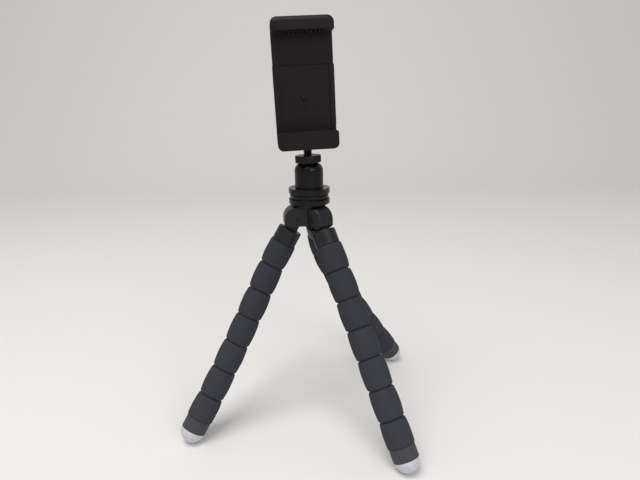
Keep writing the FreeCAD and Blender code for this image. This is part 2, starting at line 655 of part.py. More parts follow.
def back_cover():
    """Plate that closes the clamp's back over the sliding jaw."""
    solid = rounded(box(BODY_X, (BODY_BACK, COVER_BACK), (0, BODY_HEIGHT)), LOWER_CORNER, lower_corner)
    cuts = [screw(COVER_SCREW_RADIUS, COVER_SCREW_HEAD, x) for x in COVER_SCREW_SPOTS]
    cuts.append(across_plate(FACE_SCREW_RADIUS, 0, FACE_SCREW_LEVEL, BODY_BACK, FACE_SCREW_END))
    return moved(solid.cut(cuts), CLAMP_PLACE)


def screw(radius, head, x):
    """Countersunk screw from the back at one spot of the cover."""
    start = V(x, COVER_BACK, COVER_SCREW_LEVEL)
    cone = Part.makeCone(head, radius, head - radius, start, V(0, -1, 0))
    screw_end = COVER_BACK - COVER_SCREW_LENGTH
    return cone.fuse(across_plate(radius, x, COVER_SCREW_LEVEL, screw_end, COVER_BACK))


def cross_recess(x, y, z, inward):
    """Cross-shaped driver recess in a screw's head."""
    depth = tuple(sorted((y, y + inward * CROSS_DEPTH)))
    arm = CROSS_ARM / 2
    half = CROSS_WIDTH / 2
    upright_bar = box((x - half, x + half), depth, (z - arm, z + arm))
    level_bar = box((x - arm, x + arm), depth, (z - half, z + half))
    return [upright_bar, level_bar]


def cover_screws():
    """The two screws of the back cover."""
    solids = []
    for x in COVER_SCREW_SPOTS:
        solid = screw(COVER_SCREW_RADIUS, COVER_SCREW_HEAD, x)
        solids.append(solid.removeSplitter().cut(cross_recess(x, COVER_BACK, COVER_SCREW_LEVEL, -1)))
    return moved(Part.makeCompound(solids), CLAMP_PLACE)


def face_screw():
    """Pan-head screw through the front plate and its boss into the cover."""
    head_back = PLATE_FRONT + FACE_SCREW_SINK
    head_front = head_back - FACE_SCREW_HEAD_HEIGHT
    head = across_plate(FACE_SCREW_HEAD, 0, FACE_SCREW_LEVEL, head_front, head_back)

    def front_rim(edge):
        return abs(edge.CenterOfMass.y - head_front) < 0.01
    head = rounded(head, FACE_SCREW_HEAD_HEIGHT / 2, front_rim)
    shank = across_plate(FACE_SCREW_RADIUS, 0, FACE_SCREW_LEVEL, head_back, FACE_SCREW_END)
    solid = head.fuse(shank).cut(cross_recess(0, head_front, FACE_SCREW_LEVEL, 1))
    return moved(solid, CLAMP_PLACE)


def sliding_jaw():
    """Upper jaw on a fork that slides inside the body."""
    across = (-HALF_UPPER, HALF_UPPER)
    plate = box(across, (UPPER_FRONT, FORK_BACK), (SHOULDER_LEVEL, UPPER_TOP))
    jaw = box(across, (JAW_FRONT, FORK_BACK), (UPPER_JAW_LEVEL, UPPER_TOP))
    solid = plate.fuse(jaw).removeSplitter()

    def top_corner(edge):
        middle = edge.CenterOfMass
        at_side = abs(abs(middle.x) - HALF_UPPER) < 0.01
        return runs_along(edge, V(0, 1, 0)) and at_side and abs(middle.z - UPPER_TOP) < 0.01
    solid = rounded(solid, UPPER_CORNER, top_corner)

    def top_front(edge):
        middle = edge.CenterOfMass
        return abs(middle.y - JAW_FRONT) < 0.01 and middle.z > UPPER_TOP - UPPER_CORNER
    solid = solid.makeChamfer(UPPER_BEVEL, [edge for edge in solid.Edges if top_front(edge)])
    through = (FORK_FRONT, FORK_BACK)
    solid = solid.fuse(box((-HALF_FORK, HALF_FORK), through, (FORK_BOTTOM, SHOULDER_LEVEL)))
    solid = solid.removeSplitter()
    half_slot = FACE_BOSS_RADIUS + BEND_GAP
    cuts = [box((-half_slot, half_slot), through, (FORK_BOTTOM, FACE_SCREW_LEVEL)),
            across_plate(half_slot, 0, FACE_SCREW_LEVEL, FORK_FRONT, FORK_BACK)]
    cuts += [box((x - SPRING_WINDOW, x + SPRING_WINDOW), through, (FORK_BOTTOM, SPRING_WINDOW_TOP))
             for x in SPRING_SPOTS.values()]
    cuts.append(box((-HALF_PAD, HALF_PAD), (PAD_FRONT, UPPER_FRONT - PAD_BACK_GAP),
                    (UPPER_JAW_LEVEL, UPPER_JAW_LEVEL + UPPER_PAD_SINK)))
    solid = solid.cut(cuts)
    bars = [spring_bar(x) for x in SPRING_SPOTS.values()]
    return moved(solid.fuse(bars).removeSplitter(), CLAMP_PLACE)


def spring_bar(x):
    """Bar across a spring's window that its upper eye hangs on."""
    return rod(SPRING_BAR_RADIUS, V(x - SPRING_WINDOW, SPRING_Y, SPRING_BAR_LEVEL),
               V(x + SPRING_WINDOW, SPRING_Y, SPRING_BAR_LEVEL))


def clamp_spring(name):
    """Tension spring: its coils as a plain tube, with an eye at each end."""
    x = SPRING_SPOTS[name]
    bore = SPRING_COIL_RADIUS - SPRING_WIRE
    ends = (V(x, SPRING_Y, SPRING_PEG_LEVEL + bore), V(x, SPRING_Y, SPRING_BAR_LEVEL - bore))
    solid = rod(SPRING_COIL_RADIUS, *ends).cut(rod(bore, *ends))
    eye = bore + SPRING_WIRE / 2
    low_eye = Part.makeTorus(eye, SPRING_WIRE / 2, V(x, SPRING_Y, SPRING_PEG_LEVEL), V(0, 1, 0))
    high_eye = Part.makeTorus(eye, SPRING_WIRE / 2, V(x, SPRING_Y, SPRING_BAR_LEVEL), V(1, 0, 0))
    return moved(solid.fuse([low_eye, high_eye]), CLAMP_PLACE)


def ribbed_pad(low, back, rib_height, up):
    """Rubber pad whose ribs run from front to back, on its top or its underside."""
    y = (PAD_FRONT, back)
    solid = box((-HALF_PAD, HALF_PAD), y, (low, low + PAD_THICKNESS))
    count = int((2 * HALF_PAD - PAD_RIB_WIDTH) / PAD_RIB_PITCH)
    count -= 1 - count % 2
    rib_z = (low + PAD_THICKNESS, low + PAD_THICKNESS + rib_height) if up else (low - rib_height, low)
    ribs = []
    for k in range(count):
        x = (k - (count - 1) / 2) * PAD_RIB_PITCH
        ribs.append(box((x - PAD_RIB_WIDTH / 2, x + PAD_RIB_WIDTH / 2), y, rib_z))
    return moved(solid.fuse(ribs).removeSplitter(), CLAMP_PLACE)


def lower_pad():
    """Pad on the lower jaw."""
    return ribbed_pad(LOWER_JAW_HEIGHT, PLATE_FRONT - PAD_BACK_GAP, PAD_RIB_HEIGHT, True)


def upper_pad():
    """Pad let into the underside of the upper jaw."""
    low = UPPER_JAW_LEVEL + UPPER_PAD_SINK - PAD_THICKNESS
    return ribbed_pad(low, UPPER_FRONT - PAD_BACK_GAP, UPPER_PAD_RIB_HEIGHT, False)


# ---- legs -------------------------------------------------------------------------------------------
def collar(leg):
    """Knuckle, neck and the cup that the foam and the wire start from."""
    solid = rod(COLLAR_RADIUS, V(0, 0, COLLAR_DROP), V(0, 0, COLLAR_END))
    solid = rounded(solid, COLLAR_EDGE, rim_of(COLLAR_RADIUS))
    half = KNUCKLE_THICKNESS / 2
    solid = solid.fuse([
        rod(KNUCKLE_RADIUS, V(-half, 0, 0), V(half, 0, 0)),
        box((-half, half), (-KNUCKLE_NECK, KNUCKLE_NECK), (0, COLLAR_DROP + COLLAR_EDGE))])
    solid = solid.removeSplitter().cut([
        rod(PIN_RADIUS + RUNNING_FIT, V(-half, 0, 0), V(half, 0, 0)),
        rod(WIRE_RADIUS, V(0, 0, COLLAR_END - WIRE_IN_COLLAR), V(0, 0, COLLAR_END))])
    return moved(solid, leg_place(leg, 0))


def foam_profile(length, notch_above, notch_below):
    """Half section of one foam bead, with a notch face or a flat face at each end."""
    hole = WIRE_RADIUS + WIRE_PLAY
    floor = FOAM_RADIUS - NOTCH_DEPTH
    slope = math.tan(math.radians(NOTCH_ANGLE))
    dip = NOTCH_GAP + hole * slope
    rise = NOTCH_GAP + floor * slope
    chord = math.hypot(NOTCH_DEPTH, NOTCH_HALF_WIDTH - rise)
    bulge = NOTCH_BULGE * chord
    middle = (floor + NOTCH_DEPTH / 2 + bulge * (NOTCH_HALF_WIDTH - rise) / chord,
              (rise + NOTCH_HALF_WIDTH) / 2 - bulge * NOTCH_DEPTH / chord)
    points = [(hole, 0), (FOAM_RADIUS, 0)]
    if notch_above:
        points = [(hole, dip), (floor, rise), (middle, (FOAM_RADIUS, NOTCH_HALF_WIDTH))]
    if notch_below:
        points += [(FOAM_RADIUS, length - NOTCH_HALF_WIDTH),
                   ((middle[0], length - middle[1]), (floor, length - rise)), (hole, length - dip)]
    else:
        points += [(FOAM_RADIUS, length), (hole, length)]
    return points


def foam(leg, number):
    """One foam bead, counted from the collar."""
    if number == 1:
        bead = lathe(foam_profile(FIRST_FOAM, False, True))
        return moved(bead, leg_place(leg, 0, COLLAR_END))
    last = number == FOAM_COUNT
    bead = lathe(foam_profile(LAST_FOAM if last else FOAM_PITCH, True, not last))
    return moved(bead, leg_place(leg, number - 1))


def core_wire(leg):
    """Bendable wire from the collar through all the foam into the foot's sleeve."""
    points = POINTS[leg]
    directions = DIRECTIONS[leg]
    stops = [points[0] + directions[0] * (COLLAR_END - WIRE_IN_COLLAR)] + points[1:-1]
    stops.append(points[-1] - directions[-1] * (SLEEVE_LENGTH - WIRE_IN_SLEEVE))
    solid = rod(WIRE_RADIUS, stops[0], stops[1])
    for start, end in zip(stops[1:], stops[2:]):
        solid = solid.fuse([Part.makeSphere(WIRE_RADIUS, start), rod(WIRE_RADIUS, start, end)])
    return solid.removeSplitter()


def foot_sleeve(leg):
    """Rubber cup round the end of the foam's wire."""
    solid = rod(SLEEVE_RADIUS, V(0, 0, 0), V(0, 0, SLEEVE_LENGTH))
    solid = rounded(solid, SLEEVE_EDGE, rim_of(SLEEVE_RADIUS))
    solid = solid.cut([rod(WIRE_RADIUS, V(0, 0, 0), V(0, 0, WIRE_IN_SLEEVE)),
                       rod(TIP_SPIGOT_RADIUS, V(0, 0, SLEEVE_LENGTH - TIP_SPIGOT_LENGTH),
                           V(0, 0, SLEEVE_LENGTH))])
    return moved(solid, leg_place(leg, FOAM_COUNT - 1, LAST_FOAM))


def foot_tip(leg):
    """Domed foot with a spigot in the sleeve."""
    quarter = arc_middle((0, 0), TIP_RADIUS, 0, math.pi / 2)
    solid = lathe([(0, 0), (TIP_RADIUS, 0), (quarter, (0, TIP_RADIUS))])
    solid = solid.fuse(rod(TIP_SPIGOT_RADIUS, V(0, 0, -TIP_SPIGOT_LENGTH), V(0, 0, 0))).removeSplitter()
    return moved(solid, leg_place(leg, FOAM_COUNT - 1, LAST_FOAM + SLEEVE_LENGTH))


# ---- all pieces, then the move to the object's own origin ---------------------------------
def all_pieces():
    """Every named piece, standing on the table round the head's axis."""
    pieces = {
        "hub_body": hub_body(), "hub_plug": hub_plug(), "head_screw": head_screw(),
        "head_base": head_base(), "seat_spring": seat_spring(), "ball_seat": ball_seat(),
        "ball_housing": ball_housing(), "lock_ring": lock_ring(), "ball_stud": ball_stud(),
        "knurled_nut": knurled_nut(), "clamp_body": clamp_body(), "threaded_insert": threaded_insert(),
        "back_cover": back_cover(), "cover_screws": cover_screws(), "face_screw": face_screw(),
        "lower_pad": lower_pad(), "spring_left": clamp_spring("left"),
        "spring_right": clamp_spring("right"), "sliding_jaw": sliding_jaw(), "upper_pad": upper_pad(),
    }
    for leg in LEGS:
        pieces[leg + "_hinge_pin"] = hinge_pin(leg)
        pieces[leg + "_collar"] = collar(leg)
        for number in range(1, FOAM_COUNT + 1):
            pieces["%s_foam_%d" % (leg, number)] = foam(leg, number)
        pieces[leg + "_core_wire"] = core_wire(leg)
        pieces[leg + "_foot_sleeve"] = foot_sleeve(leg)
        pieces[leg + "_foot_tip"] = foot_tip(leg)
    return pieces


def footprint_middle(pieces):
    """Middle of the whole object's box, at its lowest height."""
    limits = FreeCAD.BoundBox()
    for shape in pieces.values():
        limits.add(shape.optimalBoundingBox(False, False))
    return V(limits.Center.x, limits.Center.y, limits.ZMin)


PIECES = all_pieces()
ORIGIN = footprint_middle(PIECES)
os.makedirs("parts", exist_ok=True)
for name, shape in PIECES.items():
    shape.translate(ORIGIN * -1)
    shape.exportStep("parts/" + name + ".step")
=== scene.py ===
import json
import math

import bmesh
import bpy
from mathutils import Matrix, Vector, noise


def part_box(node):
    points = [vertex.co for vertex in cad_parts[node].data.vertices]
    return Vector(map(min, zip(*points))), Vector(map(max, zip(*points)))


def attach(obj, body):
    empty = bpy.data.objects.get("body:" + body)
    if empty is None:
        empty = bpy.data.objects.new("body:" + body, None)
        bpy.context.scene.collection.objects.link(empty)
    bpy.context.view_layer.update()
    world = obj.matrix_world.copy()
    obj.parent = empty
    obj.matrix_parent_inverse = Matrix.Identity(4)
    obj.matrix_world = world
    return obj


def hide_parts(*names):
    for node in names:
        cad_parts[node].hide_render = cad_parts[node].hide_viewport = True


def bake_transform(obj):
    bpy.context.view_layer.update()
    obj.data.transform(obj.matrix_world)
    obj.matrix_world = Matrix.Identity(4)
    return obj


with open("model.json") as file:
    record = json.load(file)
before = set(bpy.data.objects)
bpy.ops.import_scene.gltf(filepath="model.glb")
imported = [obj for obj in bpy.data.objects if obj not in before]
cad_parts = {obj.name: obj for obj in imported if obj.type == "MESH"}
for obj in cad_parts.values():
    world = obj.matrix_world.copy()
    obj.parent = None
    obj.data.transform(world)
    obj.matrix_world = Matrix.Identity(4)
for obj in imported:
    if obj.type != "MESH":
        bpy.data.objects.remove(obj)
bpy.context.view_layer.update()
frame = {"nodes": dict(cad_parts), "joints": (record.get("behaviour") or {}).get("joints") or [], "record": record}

MM = 0.001
UP = Vector((0, 0, 1))
LEGS = ("left", "right", "rear")
JOINTS = {joint["name"]: joint for joint in frame["joints"]}


# ---- reading the frame ------------------------------------------------------------------
def joint_point(name):
    """Where a joint sits."""
    return Vector(JOINTS[name]["pos_m"])


def joint_axis(name):
    """Direction of a joint's axis."""
    return Vector(JOINTS[name]["axis"])


def box_middle(node):
    """Middle of a node's box."""
    low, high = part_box(node)
    return (low + high) / 2


def node_points(node):
    """Corners of a node's mesh."""
    return [vertex.co for vertex in frame["nodes"][node].data.vertices]


def span_along(node, point, way):
    """Lowest and highest distance of a node's corners from a point along a direction."""
    distances = [(corner - point).dot(way) for corner in node_points(node)]
    return min(distances), max(distances)


def reach_from(node, point, way):
    """Largest distance of a node's corners from a line."""
    return max(((corner - point).cross(way)).length for corner in node_points(node))


# ---- camera ---------------------------------------------------------------------------------
CAMERA_BACK = 363.4 * MM      # in front of the head's axis
CAMERA_HEIGHT = 252.3 * MM
CAMERA_DOWN = 16.441          # degrees
CAMERA_RIGHT = 1.214
CAMERA_ROLL = -0.803
CAMERA_LENS = 27.0            # focal length and sensor width, in the camera's own millimetres
CAMERA_SENSOR = 36.0


def place_camera():
    """Camera in front of the head, looking slightly down."""
    data = bpy.data.cameras.new("camera")
    data.sensor_width = CAMERA_SENSOR
    data.lens = CAMERA_LENS
    data.clip_start = 10 * MM
    data.dof.use_dof = False
    camera = bpy.data.objects.new("camera", data)
    bpy.context.scene.collection.objects.link(camera)
    down, right, roll = (math.radians(a) for a in (CAMERA_DOWN, CAMERA_RIGHT, CAMERA_ROLL))
    ahead = math.cos(down)
    forward = Vector((math.sin(right) * ahead, math.cos(right) * ahead, -math.sin(down)))
    level = Vector((math.cos(right), -math.sin(right), 0))
    above = level.cross(forward)
    side = level * math.cos(roll) + above * math.sin(roll)
    top = above * math.cos(roll) - level * math.sin(roll)
    turn = Matrix((side, top, -forward)).transposed()
    head = joint_point("head_pan")
    place = Matrix.Translation((head.x, head.y - CAMERA_BACK, CAMERA_HEIGHT))
    camera.matrix_world = place @ turn.to_4x4()
    bpy.context.scene.camera = camera


# ---- shader sums --------------------------------------------------------------------------------
class Value:
    """Socket of a finish that takes part in sums."""

    def __init__(self, finish, socket):
        self.finish = finish
        self.socket = socket

    def math(self, operation, first, second, clamp=False):
        settings = {"operation": operation, "use_clamp": clamp}
        return self.finish.node("ShaderNodeMath", settings, {0: first, 1: second})

    def __add__(self, other):
        return self.math("ADD", self, other)

    def __radd__(self, other):
        return self.math("ADD", other, self)

    def __sub__(self, other):
        return self.math("SUBTRACT", self, other)

    def __rsub__(self, other):
        return self.math("SUBTRACT", other, self)

    def __mul__(self, other):
        return self.math("MULTIPLY", self, other)

    def __rmul__(self, other):
        return self.math("MULTIPLY", other, self)

    def __truediv__(self, other):
        return self.math("DIVIDE", self, other)

    def __rtruediv__(self, other):
        return self.math("DIVIDE", other, self)

    def clamped(self):
        return self.math("ADD", self, 0.0, clamp=True)


class Finish:
    """Procedural material with one Principled shader, patterned on object coordinates."""

    def __init__(self, name, color, roughness, metallic=0.0, specular=0.5):
        self.material = bpy.data.materials.new(name)
        self.material.use_nodes = True
        self.tree = self.material.node_tree
        self.tree.nodes.clear()
        self.shader = self.tree.nodes.new("ShaderNodeBsdfPrincipled")
        output = self.tree.nodes.new("ShaderNodeOutputMaterial")
        self.tree.links.new(self.shader.outputs["BSDF"], output.inputs["Surface"])
        self.place = self.node("ShaderNodeTexCoord", output="Object")
        self.color = linear(color)
        self.material.diffuse_color = self.color
        self.set("Base Color", self.color)
        self.set("Roughness", roughness)
        self.set("Metallic", metallic)
        self.set("Specular IOR Level", specular)

    def set(self, name, value):
        """Feed an input of the shader from a value, a number or a colour."""
        self.plug(self.shader.inputs[name], value)

    def plug(self, socket, value):
        if isinstance(value, Value):
            self.tree.links.new(value.socket, socket)
        else:
            socket.default_value = value

    def node(self, kind, settings=None, inputs=None, output=0):
        """Any node, by its type, its settings and the values of its inputs."""
        node = self.tree.nodes.new(kind)
        for name, value in (settings or {}).items():
            if name == "stops":
                set_stops(node.color_ramp, value)
            else:
                setattr(node, name, value)
        for name, value in (inputs or {}).items():
            self.plug(node.inputs[name], value)
        return Value(self, node.outputs[output])

    def noise(self, size, detail=2.0, roughness=0.5, distortion=0.0):
        """Cloudy pattern with spots of about one size, in metres, between 0 and 1."""
        inputs = {"Vector": self.place, "Scale": 1.0 / size, "Detail": detail, "Roughness": roughness,
                  "Distortion": distortion}
        return self.node("ShaderNodeTexNoise", {"noise_dimensions": "3D"}, inputs, "Fac")

    def cells(self, size):
        """Cell pattern with cells of about one size, in metres."""
        inputs = {"Vector": self.place, "Scale": 1.0 / size}
        return self.node("ShaderNodeTexVoronoi", {"feature": "F1"}, inputs, "Distance")

    def height(self):
        """Height above the table, in metres."""
        return self.node("ShaderNodeSeparateXYZ", None, {"Vector": self.place}, "Z")

    def ramp(self, value, *stops):
        """Value through a ramp of (place, grey) stops."""
        return self.node("ShaderNodeValToRGB", {"stops": stops}, {"Fac": value}, "Color")

    def mix(self, share, first, second):
        """Colour between two colours."""
        inputs = {"Factor": share, 6: first, 7: second}
        return self.node("ShaderNodeMix", {"data_type": "RGBA"}, inputs, 2)

    def bump(self, height, depth, strength=1.0, under=None):
        """Bumps of a height pattern, its depth in metres, feeding the normal."""
        inputs = {"Height": height, "Distance": depth, "Strength": strength}
        if under is not None:
            inputs["Normal"] = under
        return self.node("ShaderNodeBump", None, inputs, "Normal")


def linear(color):
    """Linear colour with alpha from one written in sRGB from 0 to 255."""
    parts = []
    for part in color:
        part /= 255.0
        parts.append(part / 12.92 if part <= 0.04045 else ((part + 0.055) / 1.055) ** 2.4)
    return (*parts, 1.0)


def set_stops(ramp, stops):
    """Give a colour ramp its (place, grey) stops."""
    while len(ramp.elements) < len(stops):
        ramp.elements.new(0.5)
    for element, (place, grey) in zip(ramp.elements, stops):
        element.position = place
        element.color = (grey, grey, grey, 1.0)


def shade(color, factor):
    """A linear colour made lighter or darker."""
    return (color[0] * factor, color[1] * factor, color[2] * factor, 1.0)


# ---- finishes -----------------------------------------------------------------------------------
FOAM_BOUNCE_TOP = 145 * MM         # height on the standing legs above which the foam gets no painted bounce light
FOAM_BOUNCE_FULL = 30 * MM          # and below which the painted bounce light from the table is strongest


def foam_finish():
    """Charcoal foam skin: closed cells, faint clouds, darker at the top and lighter towards the feet with painted
    bounce light from the table.
    """
    finish = Finish("foam_skin", (48, 49, 54), 0.9, specular=0.2)
    clouds = finish.noise(9 * MM, 4.0, 0.6)
    grain = finish.cells(0.55 * MM)
    pores = finish.noise(0.28 * MM, 2.0)
    # painted light: the foam is darkened towards the top and lightened towards the feet, standing in for bounce
    # light from the table below
    painted_bounce_share = ((finish.height() - FOAM_BOUNCE_TOP) / (FOAM_BOUNCE_FULL - FOAM_BOUNCE_TOP)).clamped()
    shaded_upper_tone = finish.mix(clouds, shade(finish.color, 0.66), shade(finish.color, 0.94))
    bounce_lit_lower_tone = finish.mix(clouds, shade(finish.color, 1.02), shade(finish.color, 1.5))
    tone = finish.mix(painted_bounce_share, shaded_upper_tone, bounce_lit_lower_tone)
    finish.set("Base Color", finish.mix(finish.ramp(grain, (0.0, 0.0), (0.5, 0.35)), tone,
                                        shade(finish.color, 1.35)))
    finish.set("Roughness", clouds * 0.12 + 0.8)
    skin = finish.bump(grain, 0.06 * MM, 0.5)
    finish.set("Normal", finish.bump(pores, 0.05 * MM, 0.4, skin))
    return finish.material


def leg_plastic_finish():
    """Half-gloss black plastic of the hub and collars, with a fine moulded grain."""
    finish = Finish("leg_plastic", (22, 23, 27), 0.4, specular=0.3)
    grain = finish.noise(0.35 * MM, 3.0, 0.6)
    wear = finish.noise(6 * MM, 4.0, 0.65)
    finish.set("Base Color", finish.mix(wear, shade(finish.color, 0.85), shade(finish.color, 1.15)))
    finish.set("Roughness", wear * 0.14 + 0.34)
    finish.set("Normal", finish.bump(grain, 0.02 * MM, 0.5))
    return finish.material


def head_black_finish():
    """Glossy black of the base, lock ring and housing, with faint wiping marks."""
    finish = Finish("head_black", (11, 7, 10), 0.2, specular=0.22)
    marks = finish.noise(3 * MM, 5.0, 0.7, 1.0)
    finish.set("Base Color", finish.mix(marks, shade(finish.color, 0.85), shade(finish.color, 1.2)))
    finish.set("Roughness", marks * 0.12 + 0.16)
    finish.set("Normal", finish.bump(finish.noise(0.8 * MM, 2.0), 0.004 * MM, 0.5))
    return finish.material


def black_metal_finish():
    """Blackened steel of the stud and the nut, rubbed a little bright."""
    finish = Finish("black_metal", (24, 22, 22), 0.35, metallic=0.4, specular=0.3)
    rub = finish.noise(1.2 * MM, 5.0, 0.7)
    worn = finish.ramp(rub, (0.45, 0.0), (0.75, 1.0))
    finish.set("Base Color", finish.mix(worn, finish.color, shade(finish.color, 1.8)))
    finish.set("Roughness", rub * 0.2 + 0.28)
    finish.set("Normal", finish.bump(finish.noise(0.2 * MM, 3.0), 0.01 * MM, 0.5))
    return finish.material


def clamp_black_finish():
    """Satin black plastic of the clamp with a spark-eroded grain."""
    finish = Finish("clamp_black", (19, 10, 13), 0.48, specular=0.2)
    grain = finish.noise(0.25 * MM, 3.0, 0.7)
    wear = finish.noise(12 * MM, 4.0, 0.6)
    finish.set("Base Color", finish.mix(wear, shade(finish.color, 0.88), shade(finish.color, 1.15)))
    finish.set("Roughness", wear * 0.12 + 0.42)
    finish.set("Normal", finish.bump(grain, 0.03 * MM, 0.5))
    return finish.material


def pad_rubber_finish():
    """Dull black rubber of the clamp's pads, a little dusty."""
    finish = Finish("pad_rubber", (19, 17, 18), 0.8, specular=0.2)
    dust = finish.noise(2.5 * MM, 5.0, 0.7)
    finish.set("Base Color", finish.mix(finish.ramp(dust, (0.4, 0.0), (0.8, 1.0)), finish.color,
                                        shade(finish.color, 1.7)))
    finish.set("Roughness", dust * 0.15 + 0.7)
    finish.set("Normal", finish.bump(finish.noise(0.3 * MM, 2.0), 0.02 * MM, 0.5))
    return finish.material


def sleeve_rubber_finish():
    """Dark grey rubber of the foot sleeves."""
    finish = Finish("sleeve_rubber", (60, 59, 64), 0.6, specular=0.3)
    dust = finish.noise(4 * MM, 5.0, 0.65)
    finish.set("Base Color", finish.mix(dust, shade(finish.color, 0.85), shade(finish.color, 1.2)))
    finish.set("Roughness", dust * 0.15 + 0.5)
    finish.set("Normal", finish.bump(finish.noise(0.3 * MM, 2.0), 0.02 * MM, 0.5))
    return finish.material


def tip_rubber_finish():
    """Pale grey rubber of the domed feet, scuffed by use."""
    finish = Finish("tip_rubber", (196, 196, 202), 0.45, specular=0.5)
    scuff = finish.noise(2.2 * MM, 6.0, 0.7)
    finish.set("Base Color", finish.mix(finish.ramp(scuff, (0.45, 0.0), (0.8, 1.0)), finish.color,
                                        shade(finish.color, 0.72)))
    finish.set("Roughness", scuff * 0.2 + 0.38)
    finish.set("Normal", finish.bump(finish.noise(0.5 * MM, 2.0), 0.02 * MM, 0.4))
    return finish.material


def steel_finish():
    """Plain steel of pins, screws and springs."""
    finish = Finish("steel", (178, 178, 180), 0.3, metallic=1.0)
    drawn = finish.noise(0.4 * MM, 4.0, 0.6)
    finish.set("Base Color", finish.mix(drawn, shade(finish.color, 0.85), shade(finish.color, 1.05)))
    finish.set("Roughness", drawn * 0.2 + 0.22)
    finish.set("Normal", finish.bump(drawn, 0.005 * MM, 0.5))
    return finish.material


def brass_finish():
    """Turned brass of the threaded insert."""
    finish = Finish("brass", (200, 168, 96), 0.3, metallic=1.0)
    tarnish = finish.noise(1.5 * MM, 4.0, 0.6)
    finish.set("Base Color", finish.mix(tarnish, shade(finish.color, 0.7), finish.color))
    finish.set("Roughness", tarnish * 0.25 + 0.22)
    finish.set("Normal", finish.bump(tarnish, 0.005 * MM, 0.5))
    return finish.material


def seat_nylon_finish():
    """Off-white nylon of the ball's seat."""
    finish = Finish("seat_nylon", (222, 220, 210), 0.4, specular=0.5)
    tone = finish.noise(3 * MM, 3.0, 0.5)
    finish.set("Base Color", finish.mix(tone, shade(finish.color, 0.93), finish.color))
    finish.set("Roughness", tone * 0.15 + 0.35)
    finish.set("Normal", finish.bump(finish.noise(0.5 * MM, 2.0), 0.01 * MM, 0.4))
    return finish.material


def wire_finish():
    """Soft aluminium wire inside the legs."""
    finish = Finish("wire_aluminium", (190, 190, 192), 0.38, metallic=1.0)
    drawn = finish.noise(0.6 * MM, 4.0, 0.6)
    finish.set("Base Color", finish.mix(drawn, shade(finish.color, 0.8), finish.color))
    finish.set("Roughness", drawn * 0.2 + 0.3)
    finish.set("Normal", finish.bump(drawn, 0.006 * MM, 0.5))
    return finish.material


FINISHES = {
    "foam": foam_finish(), "leg_plastic": leg_plastic_finish(), "head_black": head_black_finish(),
    "black_metal": black_metal_finish(), "clamp_black": clamp_black_finish(),
    "pad_rubber": pad_rubber_finish(), "steel": steel_finish(), "brass": brass_finish(),
    "seat_nylon": seat_nylon_finish(), "wire": wire_finish(), "sleeve_rubber": sleeve_rubber_finish(),
    "tip_rubber": tip_rubber_finish(),
}
SLOT_OF = {part["node"]: part["material_slot"] for part in frame["record"]["subparts"]}


def finish_cad_nodes():
    """Give every node of the frame its finish."""
    for name, node in frame["nodes"].items():
        node.data.materials.clear()
        node.data.materials.append(FINISHES[SLOT_OF[name]])


# ---- making pieces ----------------------------------------------------------------------------------
SHARP = math.radians(40)      # edges that bend more than this stay sharp
FLAT = math.radians(0.5)      # faces that bend less than this are one face
MERGE = 0.001 * MM            # corners closer than this are one corner


def new_piece(name, mesh, slot):
    """Object at the origin from a bmesh, in the finish of a slot, smooth but for its sharp edges."""
    data = bpy.data.meshes.new(name)
    mesh.to_mesh(data)
    mesh.free()
    piece = bpy.data.objects.new(name, data)
    bpy.context.scene.collection.objects.link(piece)
    data.materials.append(FINISHES[slot])
    for face in data.polygons:
        face.use_smooth = True
    data.set_sharp_from_angle(angle=SHARP)
    return piece


def turned(outline, steps):
    """Closed solid turned about the z axis from a closed outline of (radius, height) points."""
    mesh = bmesh.new()
    corners = [mesh.verts.new((radius, 0, height)) for radius, height in outline]
    edges = [mesh.edges.new((a, b)) for a, b in zip(corners, corners[1:] + corners[:1])]
    bmesh.ops.spin(mesh, geom=corners + edges, cent=(0, 0, 0), axis=UP, angle=math.tau, steps=steps,
                   use_merge=True)
    bmesh.ops.remove_doubles(mesh, verts=mesh.verts, dist=MERGE)
    bmesh.ops.recalc_face_normals(mesh, faces=mesh.faces)
    return mesh


def even_shading(piece):
    """Let the large faces of a piece keep their own normals."""
    weighted = piece.modifiers.new("even_shading", "WEIGHTED_NORMAL")
    weighted.keep_sharp = True


def softened_copy(node, name, slot, width, body):
    """Copy of a CAD node with its sharp outer edges rounded, in that node's stead."""
    mesh = bmesh.new()
    mesh.from_mesh(frame["nodes"][node].data)
    bmesh.ops.remove_doubles(mesh, verts=mesh.verts, dist=MERGE)
    bmesh.ops.dissolve_limit(mesh, angle_limit=FLAT, verts=mesh.verts, edges=mesh.edges)
    sharp = [edge for edge in mesh.edges
             if edge.is_manifold and edge.is_convex and edge.calc_face_angle() > SHARP]
    bmesh.ops.bevel(mesh, geom=sharp, offset=width, segments=2, profile=0.5, affect="EDGES",
                    material=-1, clamp_overlap=True)
    piece = new_piece(name, mesh, slot)
    even_shading(piece)
    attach(piece, body)
    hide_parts(node)


# ---- head: threaded stud and knurled nut --------------------------------------------------------------
THREAD_PITCH = 1.27 * MM
THREAD_DEPTH = 0.45 * MM
THREAD_TIP = 0.4 * MM         # chamfer at the screw's end
THREAD_STEPS = 32             # per turn
THREAD_SINK = 0.1 * MM        # how deep the thread's ridge starts inside the root
THREAD_FOOT = 0.02 * MM       # how far outside the root its flanks start
FLANK_SHARES = (0.96, 0.94, 0.66, 0.3, 0.02)  # of the pitch, down the ridge's section
BALL_STEPS = 24
STUD_STEPS = 48
CREST_ABOVE = 1 * MM          # height over the nut's lower edge from which the thread's crest is read
KNURLS = 60
KNURL_DEPTH = 0.3 * MM
KNURL_NEAR = 0.05 * MM        # corners this near the full radius take the knurl
NUT_EDGE = 0.3 * MM           # height of the chamfer above and below the knurl
NUT_CLEARANCE = 0.3 * MM      # between the nut's hollow and the housing's shoulder
HOUSING_SIDE = 2 * MM         # height over the ball's centre that the housing's shoulder starts above
HOLLOW_STEPS = 6


